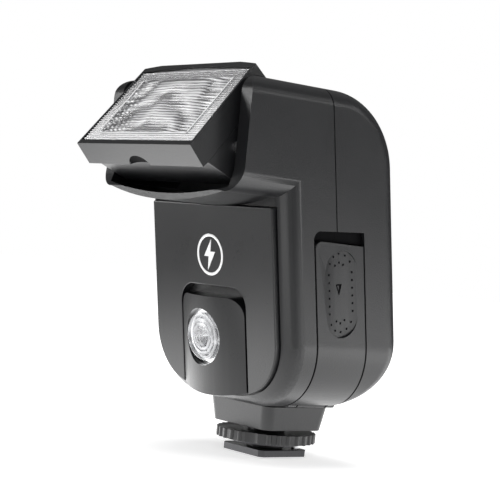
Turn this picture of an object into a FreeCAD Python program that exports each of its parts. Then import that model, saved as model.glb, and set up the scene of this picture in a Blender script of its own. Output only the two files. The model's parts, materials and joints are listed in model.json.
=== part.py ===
"""Compact speedlight flash: a leaning body, a tilting head, a battery door and a hot-shoe foot.

Frame: millimetres, +Z up, -Y is the way the light leaves, +X is the battery-door side.
The origin is the centre of the foot plate's bottom face.
The foot, the mount block, the shroud and the head are square to this frame.
The body leans forward about X by bodyLean, and its pieces are drawn upright, then leaned.
"""
import FreeCAD, Part
import math
import os
from FreeCAD import Vector

# ---- driving dimensions -------------------------------------------------------------------
bodyLean = 9.4            # degrees the body leans towards -Y
wall = 2.0                # shell wall
gap = 0.3                 # clearance between moving pieces
fitClearance = 0.05       # radial running clearance of pins and shafts

# body slab (drawn upright)
halfWidth = 32.5
slabFront = -15.7
slabRear = 26.0
slabBottom = 15.5         # height of the level underside
slabTop = 105.7           # height of the level top
bottomCornerRadius = 20.0
rearTopRadius = 23.0
rearLowRadius = 20.0
rearLowDrop = 1.0         # how far below the underside the rear curve would reach
frontTopRadius = 9.0
rimRadius = 5.5
seamY = 2.0               # plane where the two shells meet

# shroud round the head (square to the frame)
chinFront = -45.4
earFront = -43.4
chinMiddle = 71.0         # underside at the middle
chinSide = 74.1           # underside where the corner starts
chinCornerX = 26.4
shroudCornerTop = 80.2
shroudBack = -12.0
earInside = 27.9
lipThickness = 1.8        # from the chin's underside to the trough's curved floor, at the middle
lipRise = 2.6             # how much higher the trough's floor is at the ears
troughBack = -19.0
troughRadius = 5.0
earTopRadius = 4.5

# head (drawn level about its pivot, then tilted)
pivotY = -41.5
pivotZ = 86.2
headTilt = 39.5           # degrees above level at rest
lensPlane = -11.94
bezelBack = -4.55
headBottomFront = -11.47
bezelBottomBack = -12.42
housingBottomFront = -10.47
housingBottomSlope = 0.31
headBack = 10.3
headTopSide = 19.0
headTopBack = 20.0
headCrown = 2.0
headHalfBottom = 27.3
headHalfTop = 25.9
headWall = 1.8
lensHalfWidth = 26.3
lensTaper = 1.2
lensBottom = -9.9
lensTop = 18.4
lensCrown = 1.3
lensThickness = 2.0
pivotPinRadius = 1.8
notchX = -3.5
notchRadius = 4.5

# front panel and sensor (drawn upright)
panelFront = -17.2
panelBack = -14.4
panelHalfWidth = 27.7
panelTop = 75.0
panelBottom = 20.3
housingHalfWidth = 14.4
housingTop = 49.0
windowTop = 51.5
windowCorner = 5.5
bulgeHeight = 3.5
sensorX = -1.9
sensorZ = 37.0
sensorRadius = 6.9

# battery door (drawn upright)
doorInner = 16.4          # where the door's wrap ends under the body
doorFront = -6.4
doorRear = 12.3
doorTopFront = 65.3
doorTopRear = 62.1
recessTopFront = 68.2
recessTopRear = 66.0
recessDepth = 1.5
hingeX = 17.5             # the hinge pin is level, along Y
hingeZ = 16.9
hingeFront = -8.2
hingeRear = 9.2
hingeMiddle = 0.5
knuckleRadius = 1.15
knuckleLength = 2.9
hingePinRadius = 0.6
gripY = 3.3
gripZ = 49.6
gripHalfHeight = 12.3
gripHalfWidth = 5.7
gripDepth = 0.9

# cells
cellRadius = 7.25
cellLength = 49.5
cellNubRadius = 2.6
cellNub = 1.0
cellStart = -23.0
cellY = 3.0
cellUpperZ = 55.6
cellLowerZ = 40.6

# foot
plateWidth = 18.6
plateLength = 18.0
plateThickness = 2.0
plateChamfer = 1.2
stemRadius = 5.5
stemTop = 10.3
threadPitch = 1.0
threadDepth = 0.35
contactRadius = 1.1
contactProud = 0.6
wheelRadius = 14.75
wheelBottom = 4.1
wheelTop = 6.9
wheelLobes = 30
wheelNotchAngle = -57.0
washerBottom = 3.2
washerRadius = 10.4
blockBottom = 8.3
blockTop = 15.2
blockHalfX = 13.0
blockFrontY = -11.0
blockRearY = 10.9
blockSpread = 1.0         # how far each side moves out per 7 mm of height
blockCorner = 3.0

# rear controls (drawn upright)
controlZ = 42.5
switchX = -13.0
switchTravel = 4.0
lampX = 3.0
lampRadius = 2.0
buttonX = 14.0
buttonRadius = 3.2
buttonProud = 1.3
chartHalfWidth = 21.0
chartBottom = 52.0
chartTop = 80.0
chartDepth = 0.8

XAXIS = Vector(1, 0, 0)
YAXIS = Vector(0, 1, 0)
ZAXIS = Vector(0, 0, 1)


# ---- small helpers ------------------------------------------------------------------------
def box(x0, x1, y0, y1, z0, z1):
    return Part.makeBox(x1 - x0, y1 - y0, z1 - z0, Vector(x0, y0, z0))


def rod(radius, start, direction, length):
    return Part.makeCylinder(radius, length, Vector(*start), direction)


def tube(outer, inner, start, direction, length):
    return rod(outer, start, direction, length).cut(rod(inner, start, direction, length))


def path(start, steps):
    """A closed face from a start point and steps: (end) for a line, (middle, end) for an arc."""
    edges = []
    here = Vector(*start)
    for step in steps:
        points = [Vector(*p) for p in step]
        if len(points) == 1:
            edges.append(Part.LineSegment(here, points[0]).toShape())
        else:
            edges.append(Part.Arc(here, points[0], points[1]).toShape())
        here = points[-1]
    if here.distanceToPoint(Vector(*start)) > 1e-6:
        edges.append(Part.LineSegment(here, Vector(*start)).toShape())
    return Part.Face(Part.Wire(edges))


def sideFace(x, start, steps):
    """A face in the plane X = x, from (y, z) points."""
    return path((x, *start), [[(x, *p) for p in step] for step in steps])


def frontFace(y, start, steps):
    """A face in the plane Y = y, from (x, z) points."""
    return path((start[0], y, start[1]), [[(p[0], y, p[1]) for p in step] for step in steps])


def roundedRect(plane, a0, a1, b0, b1, radius, offset):
    """A rounded rectangle in the plane X, Y or Z = offset, from its two spans."""
    k = radius * (1 - math.sqrt(0.5))
    place = {"X": lambda a, b: (offset, a, b), "Y": lambda a, b: (a, offset, b),
             "Z": lambda a, b: (a, b, offset)}[plane]
    corners = [
        [place(a1 - radius, b0)], [place(a1 - k, b0 + k), place(a1, b0 + radius)],
        [place(a1, b1 - radius)], [place(a1 - k, b1 - k), place(a1 - radius, b1)],
        [place(a0 + radius, b1)], [place(a0 + k, b1 - k), place(a0, b1 - radius)],
        [place(a0, b0 + radius)], [place(a0 + k, b0 + k), place(a0 + radius, b0)],
    ]
    return path(place(a0 + radius, b0), corners)


def lean(shape):
    turned = shape.copy()
    turned.rotate(Vector(0, 0, 0), XAXIS, bodyLean)
    return turned


def tiltHead(shape):
    placed = shape.copy()
    placed.rotate(Vector(0, 0, 0), XAXIS, -headTilt)
    placed.translate(Vector(0, pivotY, pivotZ))
    return placed


def arcMiddle(centre, radius, degrees):
    angle = math.radians(degrees)
    return centre[0] + radius * math.cos(angle), centre[1] + radius * math.sin(angle)


def mirrored(shape):
    return shape.mirror(Vector(0, 0, 0), XAXIS)


def both(shape):
    return [shape, mirrored(shape)]


def edgesWhere(shape, test):
    found = []
    for edge in shape.Edges:
        middle = edge.valueAt((edge.FirstParameter + edge.LastParameter) / 2)
        if test(edge, middle):
            found.append(edge)
    return found


# ---- body shells --------------------------------------------------------------------------
def slab(inset):
    """The leaning body slab with level top and bottom, shrunk all round by inset."""
    w = halfWidth - inset
    low = slabBottom + inset
    high = slabTop - inset
    r = bottomCornerRadius - inset
    k = r * (1 - math.sqrt(0.5))
    outline = frontFace(-90, (-w + r, low), [
        [(w - r, low)], [(w - k, low + k), (w, low + r)], [(w, high)],
        [(-w, high)], [(-w, low + r)], [(-w + k, low + k), (-w + r, low)]])
    upright = box(-50, 50, slabFront + inset, slabRear - inset, -20, 140)
    floor = low - rearLowDrop
    solid = lean(upright).common(box(-60, 60, -90, 90, floor, 160))
    rearLow = edgesWhere(solid, lambda e, m: abs(m.z - floor) < 0.01 and abs(m.x) < 1 and m.y > 5)
    solid = solid.makeFillet(rearLowRadius - inset, rearLow)
    solid = solid.common(outline.extrude(Vector(0, 160, 0)))
    rearTop = edgesWhere(solid, lambda e, m: abs(m.z - high) < 0.01 and abs(m.x) < 1 and m.y > -5)
    solid = solid.makeFillet(rearTopRadius - inset, rearTop)
    frontTop = edgesWhere(solid, lambda e, m: abs(m.z - high) < 0.01 and abs(m.x) < 1 and m.y < -25)
    solid = solid.makeFillet(frontTopRadius - inset, frontTop)
    rim = edgesWhere(solid, lambda e, m: onSlabRim(m, inset, w, low + r))
    return solid.makeFillet(rimRadius - inset, rim)


def onSlabRim(middle, inset, w, cornerTop):
    """True for the edges that run round the side faces and the lower front and rear."""
    if abs(abs(middle.x) - w) < 0.01:
        return abs(middle.z - cornerTop) > 0.01
    if middle.z > cornerTop:
        return False
    point = Part.Vertex(middle)
    point.rotate(Vector(0, 0, 0), XAXIS, -bodyLean)
    onFront = abs(point.Point.y - slabFront - inset) < 0.01
    onRear = abs(point.Point.y - slabRear + inset) < 0.01
    onCorner = middle.y > 5 and abs(middle.x) > w - bottomCornerRadius + inset
    onMitre = onCorner and middle.z > slabBottom + inset + 0.05
    return onFront or onRear or onMitre


def shroud():
    """The hood that carries the head: a chin below it and an ear on each side."""
    w = halfWidth
    k = rimRadius * (1 - math.sqrt(0.5))
    kEar = earTopRadius * (1 - math.sqrt(0.5))
    outline = frontFace(chinFront - 5, (-chinCornerX, chinSide), [
        [(0, chinMiddle), (chinCornerX, chinSide)],
        [(w - 1.6, chinSide + 1.75), (w, shroudCornerTop)],
        [(w, slabTop - rimRadius)],
        [(w - k, slabTop - k), (w - rimRadius, slabTop)],
        [(-w + rimRadius, slabTop)],
        [(-w + k, slabTop - k), (-w, slabTop - rimRadius)],
        [(-w, shroudCornerTop)],
        [(-w + 1.6, chinSide + 1.75), (-chinCornerX, chinSide)]])
    profile = sideFace(-50, (shroudBack, 60), [
        [(chinFront, 60)], [(chinFront, chinSide)],
        [(chinFront + 1.25, chinSide + 3.2), (earFront, chinSide + 6.6)],
        [(earFront, slabTop - earTopRadius)],
        [(earFront + kEar, slabTop - kEar), (earFront + earTopRadius, slabTop)],
        [(shroudBack, slabTop)]])
    front = outline.extrude(Vector(0, shroudBack - chinFront + 5, 0))
    return front.common(profile.extrude(Vector(100, 0, 0)))


def trough(margin):
    """The space between the ears that the head swings in, grown by margin; its floor follows the chin."""
    lift = lipThickness - margin
    side = earInside + margin
    low = chinMiddle + lift
    floor = frontFace(-80, (-side, low + lipRise), [
        [(0, low), (side, low + lipRise)], [(side, 140)], [(-side, 140)]])
    back = troughBack + margin
    profile = sideFace(-50, (-80, low - 1), [
        [(back - troughRadius, low - 1)], [(back, low + troughRadius)], [(back, 140)], [(-80, 140)]])
    return floor.extrude(Vector(0, 100, 0)).common(profile.extrude(Vector(100, 0, 0)))


def doorFootprint(grow, topFront, topRear):
    """The battery door's outline on the +X side, as a prism along X."""
    front = doorFront + gap - grow
    rear = doorRear - gap + grow
    profile = sideFace(doorInner - 2.5 * grow, (front, -10), [
        [(front, topFront - 3)], [(front + 0.9, topFront - 0.9), (front + 3, topFront - 0.45)],
        [(rear, topRear)], [(rear, -10)]])
    return profile.extrude(Vector(30, 0, 0))


def bodySkin():
    """Both shells in one, before the seam divides them."""
    skin = slab(0).fuse(shroud()).removeSplitter()
    skin = skin.cut(trough(0))
    cavity = slab(wall).cut(trough(wall))
    skin = skin.cut(cavity)
    opening = doorFootprint(gap, doorTopFront + gap, doorTopRear + gap)
    ledge = doorFootprint(gap, recessTopFront, recessTopRear).common(
        box(halfWidth - recessDepth, 60, -50, 50, 0, 100))
    skin = skin.cut(lean(opening.fuse(ledge)))
    pins = rod(pivotPinRadius, (-31, pivotY, pivotZ), XAXIS, 62)
    return skin.cut(pins)


def controlCuts():
    """Openings in the rear shell for the chart, switch, button and lamp."""
    chart = roundedRect("Y", -chartHalfWidth - 0.15, chartHalfWidth + 0.15, chartBottom - 0.15,
                        chartTop + 0.15, 2.15, slabRear - chartDepth).extrude(Vector(0, 10, 0))
    well = roundedRect("Y", switchX - 4.3, switchX + switchTravel + 4.3, controlZ - 2.8,
                       controlZ + 2.8, 1.2, slabRear - 1.0).extrude(Vector(0, 10, 0))
    slot = box(switchX - 1.5, switchX + switchTravel + 1.5, slabRear - 8, slabRear + 1,
               controlZ - 1.2, controlZ + 1.2)
    button = rod(buttonRadius + 0.25, (buttonX, slabRear - 10, controlZ), YAXIS, 20)
    lamp = rod(lampRadius, (lampX, slabRear - 10, controlZ), YAXIS, 20)
    return chart.fuse([well, slot, button, lamp])


def panelOutline(grow, top, y):
    """The front panel's face: straight sides and a round lower end."""
    w = panelHalfWidth + grow
    low = panelBottom - grow
    return frontFace(y, (-w, top), [
        [(-w, 37)], [(-w + 3.7, 27.4), (-13.8, low + 1.5)],
        [(0, low), (13.8, low + 1.5)],
        [(w - 3.7, 27.4), (w, 37)], [(w, top)]])


def windowOutline(halfWide, top, y):
    """The arched slot in the panel that holds the sensor window."""
    k = windowCorner * (1 - math.sqrt(0.5))
    return frontFace(y, (-halfWide, 0), [
        [(-halfWide, top - windowCorner)],
        [(-halfWide + k, top - k), (-halfWide + windowCorner, top)],
        [(halfWide - windowCorner, top)],
        [(halfWide - k, top - k), (halfWide, top - windowCorner)], [(halfWide, 0)]])


def frontShell(skin):
    front = lean(box(-60, 60, -80, seamY - 0.03, -20, 140))
    recess = panelOutline(0.4, 90, panelBack).extrude(Vector(0, -3, 0))
    recess = recess.common(box(-60, 60, -60, 60, 0, panelTop + 0.2))
    sensorBore = rod(sensorRadius + 0.6, (sensorX, -20, sensorZ), YAXIS, 12)
    return skin.common(front).cut(lean(recess.fuse(sensorBore)))


def rearShell(skin):
    rear = lean(box(-60, 60, seamY + 0.03, 80, -20, 140))
    return skin.common(rear).cut(lean(controlCuts()))


def frontPanel():
    plate = panelOutline(0, panelTop, panelBack).extrude(Vector(0, panelFront - panelBack, 0))
    window = windowOutline(housingHalfWidth + 0.5, windowTop, panelBack + 1).extrude(Vector(0, -8, 0))
    plate = lean(plate.cut(window))
    return plate.cut(shroud())


def sensorWindow():
    """A convex plate, curved about a vertical axis, with a round well for the lens."""
    outline = windowOutline(housingHalfWidth, housingTop, panelBack - 0.05)
    blank = outline.extrude(Vector(0, -8, 0))
    lower = panelOutline(-0.3, 90, panelBack).extrude(Vector(0, -10, 0))
    half = housingHalfWidth
    curve = (half * half + bulgeHeight * bulgeHeight) / (2 * bulgeHeight)
    barrel = rod(curve, (0, panelFront - bulgeHeight + curve, 0), ZAXIS, 100)
    well = rod(sensorRadius + 1.4, (sensorX, -30, sensorZ), YAXIS, 30)
    return lean(blank.common(lower).common(barrel).cut(well))


def sensorReflector():
    """A bright stepped cup behind the sensor lens."""
    cup = rod(sensorRadius + 1.3, (sensorX, -18.4, sensorZ), YAXIS, 3.9)
    bowl = Part.makeCone(sensorRadius - 0.5, 2.6, 2.9, Vector(sensorX, -18.41, sensorZ), YAXIS)
    seat = rod(1.9, (sensorX, -18, sensorZ), YAXIS, 5)
    return lean(cup.cut(bowl.fuse(seat)))


def sensorLens():
    """A clear dome: a sphere's cap on a short rim."""
    rim = rod(sensorRadius, (sensorX, -20.1, sensorZ), YAXIS, 1.6)
    rise = 1.6
    ballRadius = (sensorRadius ** 2 + rise ** 2) / (2 * rise)
    ball = Part.makeSphere(ballRadius, Vector(sensorX, -20.1 - rise + ballRadius, sensorZ))
    cap = ball.common(box(-10, 10, -30, -20.1, 20, 60))
    return lean(rim.fuse(cap).removeSplitter())


def photocell():
    return lean(rod(1.7, (sensorX, -15.6, sensorZ), YAXIS, 4.4))


# ---- battery door -------------------------------------------------------------------------
def batteryDoor():
    """A curved cover that follows the body's side and wraps under its lower corner."""
    blank = slab(0).cut(slab(wall)).common(lean(doorFootprint(0, doorTopFront, doorTopRear)))
    armRoom = box(10, hingeX + 1.8, gripY - 5.9, gripY + 5.6, 0, 24)
    door = blank.cut(lean(armRoom.fuse(gripDish())))
    for y0 in (hingeFront, hingeRear - knuckleLength):
        knuckle = rod(knuckleRadius, (hingeX, y0, hingeZ), YAXIS, knuckleLength)
        web = box(hingeX, hingeX + 3.2, y0, y0 + knuckleLength, hingeZ - 0.7, hingeZ + 0.7)
        door = door.fuse([knuckle, web.common(slab(0))])
    bore = rod(hingePinRadius + fitClearance, (hingeX, -20, hingeZ), YAXIS, 60)
    return door.cut(bore).removeSplitter()


def gripDish():
    """The oval thumb recess: a cylinder and two half-round ends, all shallow."""
    mid = gripHalfHeight - gripHalfWidth
    outline = sideFace(halfWidth - gripDepth, (gripY - gripHalfWidth, gripZ - mid), [
        [(gripY, gripZ - gripHalfHeight), (gripY + gripHalfWidth, gripZ - mid)],
        [(gripY + gripHalfWidth, gripZ + mid)],
        [(gripY, gripZ + gripHalfHeight), (gripY - gripHalfWidth, gripZ + mid)]])
    oval = outline.extrude(Vector(5, 0, 0))
    bowlRadius = (gripHalfWidth ** 2 + gripDepth ** 2) / (2 * gripDepth)
    trough = rod(bowlRadius, (halfWidth - gripDepth + bowlRadius, gripY, 30), ZAXIS, 40)
    return oval.common(trough)


def doorSlider():
    """The hinge arm that slides down inside the body and carries the door's hinge pin."""
    arm = lean(box(hingeX - 0.9, hingeX + 0.9, gripY - 5.6, gripY + 5.3, 14.0, 26.0))
    arm = arm.common(box(0, 40, -40, 40, hingeZ, 60))
    knuckle = rod(knuckleRadius, (hingeX, hingeMiddle - 5.2, hingeZ), YAXIS, 10.4)
    bore = rod(hingePinRadius, (hingeX, -20, hingeZ), YAXIS, 60)
    return arm.fuse(knuckle).cut(bore).removeSplitter()


def doorHingePin():
    return rod(hingePinRadius, (hingeX, hingeFront, hingeZ), YAXIS, hingeRear - hingeFront)


def doorGuide():
    """Two grooved rails under the cell tray that the hinge arm slides between."""
    block = box(hingeX - 1.9, hingeX + 1.9, gripY - 7.4, gripY + 7.1, 20.5, trayBottom())
    groove = box(hingeX - 1.2, hingeX + 1.2, gripY - 5.9, gripY + 5.6, 0, 28.0)
    window = box(hingeX - 5, hingeX + 5, gripY - 4.6, gripY + 4.3, 0, 27.0)
    return lean(block.cut(groove.fuse(window)))


def doorContact():
    """A sprung metal bridge on the door that joins the two cells in series."""
    x0 = cellStart + cellLength + cellNub + 0.4
    plate = box(x0, x0 + 0.5, -2.5, 8.5, cellLowerZ - 5, cellUpperZ + 5)
    posts = [rod(1.2, (x0 + 0.5, cellY, z), XAXIS, halfWidth - wall - x0 - 0.5)
             for z in (cellLowerZ + 4.5, cellUpperZ - 4.5)]
    return lean(plate.fuse(posts).removeSplitter())


# ---- inside the body ----------------------------------------------------------------------
def trayBottom():
    return cellLowerZ - cellRadius - 1.6


def cell(z, nubFirst):
    body = rod(cellRadius, (cellStart + (cellNub if nubFirst else 0), cellY, z), XAXIS, cellLength)
    nubX = cellStart if nubFirst else cellStart + cellLength
    nub = rod(cellNubRadius, (nubX, cellY, z), XAXIS, cellNub)
    return lean(body.fuse(nub).removeSplitter())


def cellTray():
    x0 = cellStart - 4.5
    x1 = cellStart + cellLength + cellNub
    r = cellRadius + 0.35
    outer = box(x0, x1, cellY - r - 1.2, cellY + r + 1.2, trayBottom(), cellUpperZ + r + 1.2)
    holes = [rod(r, (x0 + 1.5, cellY, z), XAXIS, 80) for z in (cellUpperZ, cellLowerZ)]
    joint = box(x0 + 1.5, 60, cellY - 4, cellY + 4, cellLowerZ, cellUpperZ)
    return lean(outer.cut(holes[0].fuse([holes[1], joint])))


def cellContacts():
    """The two end contacts: a plate and a stack of coil turns against each cell."""
    pieces = []
    x0 = cellStart - 3.0
    for z in (cellUpperZ, cellLowerZ):
        plate = box(x0, x0 + 0.4, cellY - 4, cellY + 4, z - 5, z + 5)
        coil = Part.makeCone(3.6, 2.4, cellStart - x0 - 0.4, Vector(x0 + 0.4, cellY, z), XAXIS)
        core = Part.makeCone(2.8, 1.6, cellStart - x0 - 0.4, Vector(x0 + 0.4, cellY, z), XAXIS)
        pieces.append(lean(plate.fuse(coil.cut(core)).removeSplitter()))
    return Part.makeCompound(pieces)


def mainBoard():
    board = box(-24, 24, -9.3, -7.7, 24, 66)
    notch = box(14, 30, -12, 0, 20, 31)
    return lean(board.cut(notch))


def boardParts():
    """Components standing on the board: coils, a controller and small capacitors."""
    y = -9.3
    parts = [box(-19, -11, y - 2.2, y, 40, 48), box(-20, -14, y - 3.0, y, 54, 60),
             box(12, 20, y - 1.4, y, 52, 60)]
    parts += [rod(1.8, (x, y, 34.0), Vector(0, -1, 0), 3.4) for x in (-18, 15)]
    return Part.makeCompound([lean(p) for p in parts])


def mainCapacitor():
    body = rod(9.0, (-20, 10.6, 76.0), XAXIS, 36)
    crimp = tube(9.5, 8.6, (14.0, 10.6, 76.0), XAXIS, 1.2)
    return lean(body.cut(crimp))


def capacitorClip():
    band = tube(9.9, 9.05, (-4.0, 10.6, 76.0), XAXIS, 6)
    foot = box(-4, 2, 0.5, 20, 65.0, 67.2)
    ring = rod(9.05, (-5, 10.6, 76.0), XAXIS, 8)
    return lean(band.fuse(foot).cut(ring).removeSplitter())


def transformer():
    core = box(-21, -6, 2.5, 13.5, 88.5, 97)
    winding = rod(4.6, (-13.5, 8.0, 97), ZAXIS, 2.2)
    return lean(core.fuse(winding))


def triggerCoil():
    spool = rod(3.6, (4, 7.5, 92.5), XAXIS, 12)
    ends = [rod(4.4, (x, 7.5, 92.5), XAXIS, 1.2) for x in (4, 14.8)]
    return lean(spool.fuse(ends).removeSplitter())


def shellScrews():
    """Four screws from the rear that hold the shells together."""
    screws = []
    for x in (-24, 24):
        for z in (28.0, 85.0):
            head = rod(1.9, (x, 18.6, z), YAXIS, 1.2)
            shank = rod(1.0, (x, -3.0, z), YAXIS, 21.7)
            screws.append(lean(head.fuse(shank).removeSplitter()))
    return Part.makeCompound(screws)


# ---- rear controls ------------------------------------------------------------------------
def exposureChart():
    plate = roundedRect("Y", -chartHalfWidth, chartHalfWidth, chartBottom, chartTop, 2.0,
                        slabRear - chartDepth)
    return lean(plate.extrude(Vector(0, chartDepth - 0.2, 0)))


def powerSwitch():
    """A ribbed slide knob with a stem through the shell."""
    knob = roundedRect("Y", switchX - 3.6, switchX + 3.6, controlZ - 2.4, controlZ + 2.4, 0.9,
                       slabRear - 0.7).extrude(Vector(0, 2.0, 0))
    for i in range(-2, 3):
        knob = knob.cut(box(switchX + i * 1.3 - 0.25, switchX + i * 1.3 + 0.25, slabRear + 0.8,
                            slabRear + 3, controlZ - 3, controlZ + 3))
    stem = box(switchX - 1.0, switchX + 1.0, slabRear - 4.2, slabRear - 0.7,
               controlZ - 0.9, controlZ + 0.9)
    return lean(knob.fuse(stem).removeSplitter())


def switchBlock():
    """The slide switch's case on the inside, with a slot for the knob's stem."""
    case = box(switchX - 3.5, switchX + switchTravel + 3.5, slabRear - 8.0, slabRear - 2.4,
               controlZ - 3.4, controlZ + 3.4)
    slot = box(switchX - 1.4, switchX + switchTravel + 1.4, slabRear - 4.7, slabRear,
               controlZ - 1.3, controlZ + 1.3)
    return lean(case.cut(slot))


def testButton():
    cap = rod(buttonRadius, (buttonX, slabRear - 1.6, controlZ), YAXIS, 1.6 + buttonProud)
    cap = cap.makeFillet(0.6, edgesWhere(cap, lambda e, m: m.y > slabRear and e.Length > 1))
    flange = rod(buttonRadius + 0.9, (buttonX, slabRear - 3.2, controlZ), YAXIS, 0.9)
    stem = rod(buttonRadius, (buttonX, slabRear - 2.4, controlZ), YAXIS, 1.0)
    return lean(cap.fuse([stem, flange]).removeSplitter())


def buttonSwitch():
    """The tact switch the button presses, standing off by the button's travel."""
    return lean(box(buttonX - 3, buttonX + 3, slabRear - 8.0, slabRear - 4.5,
                    controlZ - 3, controlZ + 3))


def readyLamp():
    body = rod(lampRadius - 0.02, (lampX, slabRear - 3.0, controlZ), YAXIS, 3.0)
    dome = Part.makeSphere(lampRadius - 0.02, Vector(lampX, slabRear, controlZ))
    dome = dome.common(box(lampX - 5, lampX + 5, slabRear, slabRear + 1.2, controlZ - 5, controlZ + 5))
    return lean(body.fuse(dome).removeSplitter())


# ---- head (drawn level about the pivot) ---------------------------------------------------
def headFront(inset, y0, y1):
    """The head's front outline from y0 to y1, shrunk by inset: straight sides and a crowned top."""
    bottom = -14.0 + inset
    low = headHalfBottom - inset
    high = headHalfTop - inset
    side = headTopBack - inset
    outline = frontFace(y0, (-low, bottom), [
        [(low, bottom)], [(high, side)], [(0, side + headCrown), (-high, side)]])
    return outline.extrude(Vector(0, y1 - y0, 0))


def headSide(inset):
    """The head's side profile, shrunk by inset: sloped top, round back and rising underside."""
    top = headTopSide + headCrown - inset
    back = headBack - inset
    rise = housingBottomFront + inset
    low = (back * 0.72, rise + (back * 0.72 - bezelBack) * housingBottomSlope)
    profile = sideFace(-40, (lensPlane + inset, rise), [
        [(bezelBack, rise)], [low],
        [arcMiddle((0, 0), back, -18), (back, 0)],
        [(back, 12.0)],
        [(back - 2.0, 18.2), (back - 7.5, top + 1.0)],
        [(lensPlane + inset, top)]])
    return profile.extrude(Vector(80, 0, 0))


def headBlank():
    return headFront(0, -30, 30).common(headSide(0))


def bezelBlank():
    """The lens frame: the same outline with a deeper underside that ends in a step."""
    profile = sideFace(-40, (lensPlane, headBottomFront), [
        [(bezelBack - 0.3, bezelBottomBack)], [(bezelBack, housingBottomFront)],
        [(bezelBack, 40)], [(lensPlane, 40)]])
    upper = sideFace(-40, (lensPlane, -20), [
        [(lensPlane, headTopSide + headCrown)], [(bezelBack, headTopSide + headCrown + 0.35)],
        [(bezelBack, -20)]])
    solid = profile.extrude(Vector(80, 0, 0)).common(upper.extrude(Vector(80, 0, 0)))
    return solid.common(headFront(0, -30, 30))


def lensOutline(grow, y):
    w = lensHalfWidth + grow
    return frontFace(y, (-w, lensBottom - grow), [
        [(w, lensBottom - grow)], [(w - lensTaper, lensTop + grow)],
        [(0, lensTop + lensCrown + grow), (-w + lensTaper, lensTop + grow)]])


def headBezel():
    frame = bezelBlank()
    seat = lensOutline(0.05, lensPlane - 1).extrude(Vector(0, lensThickness + 1.05, 0))
    inner = lensOutline(-1.3, lensPlane - 1).extrude(Vector(0, 20, 0))
    notch = rod(notchRadius, (notchX, bezelBack - 1.0, bezelBottomBack - notchRadius + 1.1), YAXIS, 5)
    return tiltHead(frame.cut(seat.fuse(inner)).cut(notch))


def headHousing():
    outer = headBlank().common(box(-40, 40, bezelBack + 0.05, 40, -40, 40))
    inner = headFront(headWall, -30, 30).common(headSide(headWall))
    inner = inner.common(box(-40, 40, -40, 40, housingBottomFront + headWall, 40))
    bore = rod(pivotPinRadius + fitClearance, (-40, 0, 0), XAXIS, 80)
    return tiltHead(outer.cut(inner).cut(bore))


def fresnelLens():
    plate = lensOutline(0, lensPlane + 0.1).extrude(Vector(0, lensThickness - 0.1, 0))
    return tiltHead(plate)


def reflectorProfile(shrink, x):
    return sideFace(x, (-9.2, -7.6 + shrink), [
        [(4.4 - shrink, 4.0), (-9.2, 15.6 - shrink)]])


def reflector():
    """A polished trough round the flash tube, closed by two end plates."""
    outer = reflectorProfile(0, -22.6).extrude(Vector(45.2, 0, 0))
    inner = reflectorProfile(0.6, -22.0).extrude(Vector(44.0, 0, 0))
    holes = rod(2.6, (-30, -0.6, 4.0), XAXIS, 60)
    return tiltHead(outer.cut(inner).cut(holes))


def flashTube():
    return tiltHead(rod(2.2, (-20.5, -0.6, 4.0), XAXIS, 41))


def tubeCaps():
    caps = [rod(2.2, (x, -0.6, 4.0), XAXIS, 3.0) for x in (-23.5, 20.5)]
    return tiltHead(Part.makeCompound(caps))


def tubeBoard():
    """The small board behind the reflector that the tube's leads are soldered to."""
    board = box(-18, 18, 5.7, 6.7, -1.5, 10.5)
    holes = [rod(0.85, (x, 0, 8.5), YAXIS, 10) for x in (-15, 15)]
    return tiltHead(board.cut(holes[0].fuse(holes[1])))


def headScrews():
    """Two screws that hold the tube board to the back of the housing."""
    screws = []
    for x in (-15, 15):
        head = rod(1.4, (x, 4.7, 8.5), YAXIS, 1.0)
        shank = rod(0.8, (x, 5.7, 8.5), YAXIS, 2.7)
        screws.append(head.fuse(shank).removeSplitter())
    return tiltHead(Part.makeCompound(screws))


def pivotPins():
    """One pin in each ear, entering the head's side wall."""
    return Part.makeCompound(both(rod(pivotPinRadius, (24.6, pivotY, pivotZ), XAXIS, 6.4)))


# ---- foot ---------------------------------------------------------------------------------
def footPlate():
    """The hot-shoe plate with its threaded stem, bored for the sprung contact."""
    hx = plateWidth / 2
    hy = plateLength / 2
    c = plateChamfer
    corners = [(-hx + c, -hy, 0), (hx - c, -hy, 0), (hx, -hy + c, 0), (hx, hy - c, 0),
               (hx - c, hy, 0), (-hx + c, hy, 0), (-hx, hy - c, 0), (-hx, -hy + c, 0)]
    plate = path(corners[0], [[p] for p in corners[1:]]).extrude(Vector(0, 0, plateThickness))
    stem = rod(stemRadius, (0, 0, plateThickness), ZAXIS, stemTop - plateThickness)
    foot = plate.fuse(stem).removeSplitter()
    turns = int((blockBottom - plateThickness) / threadPitch)
    for i in range(turns):
        foot = foot.cut(threadGroove(plateThickness + 0.6 + i * threadPitch))
    bore = rod(contactRadius + 0.75, (0, 0, 0.9), ZAXIS, 20)
    mouth = rod(contactRadius + fitClearance, (0, 0, -1), ZAXIS, 4)
    return foot.cut(bore.fuse(mouth))


def threadGroove(z):
    """One V groove round the stem, as a ring."""
    r = stemRadius
    edge = threadPitch * 0.35
    face = path((r - threadDepth, 0, z), [[(r + 0.5, 0, z - edge)], [(r + 0.5, 0, z + edge)]])
    return face.revolve(Vector(0, 0, 0), ZAXIS, 360)


def locatingPost():
    """A short post on the rear corner of the plate that keeps the washer from turning."""
    return rod(1.1, (6.4, 6.4, plateThickness), ZAXIS, 0.9)


def contactPin():
    shank = rod(contactRadius, (0, 0, -contactProud + 0.4), ZAXIS, contactProud + 1.0)
    tip = Part.makeCone(contactRadius - 0.4, contactRadius, 0.4, Vector(0, 0, -contactProud), ZAXIS)
    collar = rod(contactRadius + 0.55, (0, 0, 0.95), ZAXIS, 0.8)
    return shank.fuse([tip, collar]).removeSplitter()


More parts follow.
